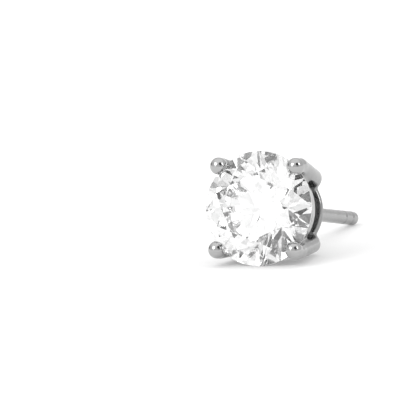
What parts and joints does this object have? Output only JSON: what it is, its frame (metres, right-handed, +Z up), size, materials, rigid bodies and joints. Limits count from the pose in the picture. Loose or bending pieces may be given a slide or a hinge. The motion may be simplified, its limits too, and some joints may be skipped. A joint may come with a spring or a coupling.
{
  "type": "diamond stud earring",
  "caption": "Stud earring: a round brilliant stone held by four ball-tipped prongs in an open basket, on a straight grooved ear post.",
  "frame": {"origin": "centre of the bottom of the bounding box, on the surface that the stud lies on, midway along its length", "axes": "+Y from the front of the stone towards the tip of the post, +Z up from the surface, +X to the right when looking along +Y at the face of the stone"},
  "size_m": [0.0064, 0.0148, 0.0064],
  "materials": {
    "diamond": "clear colourless cut stone, polished facets",
    "white_gold": "polished white metal, slightly satin where it was filed"
  },
  "bodies": {
    "root": {"round_brilliant": "diamond", "prong_setting": "white_gold"}
  },
  "joints": []
}
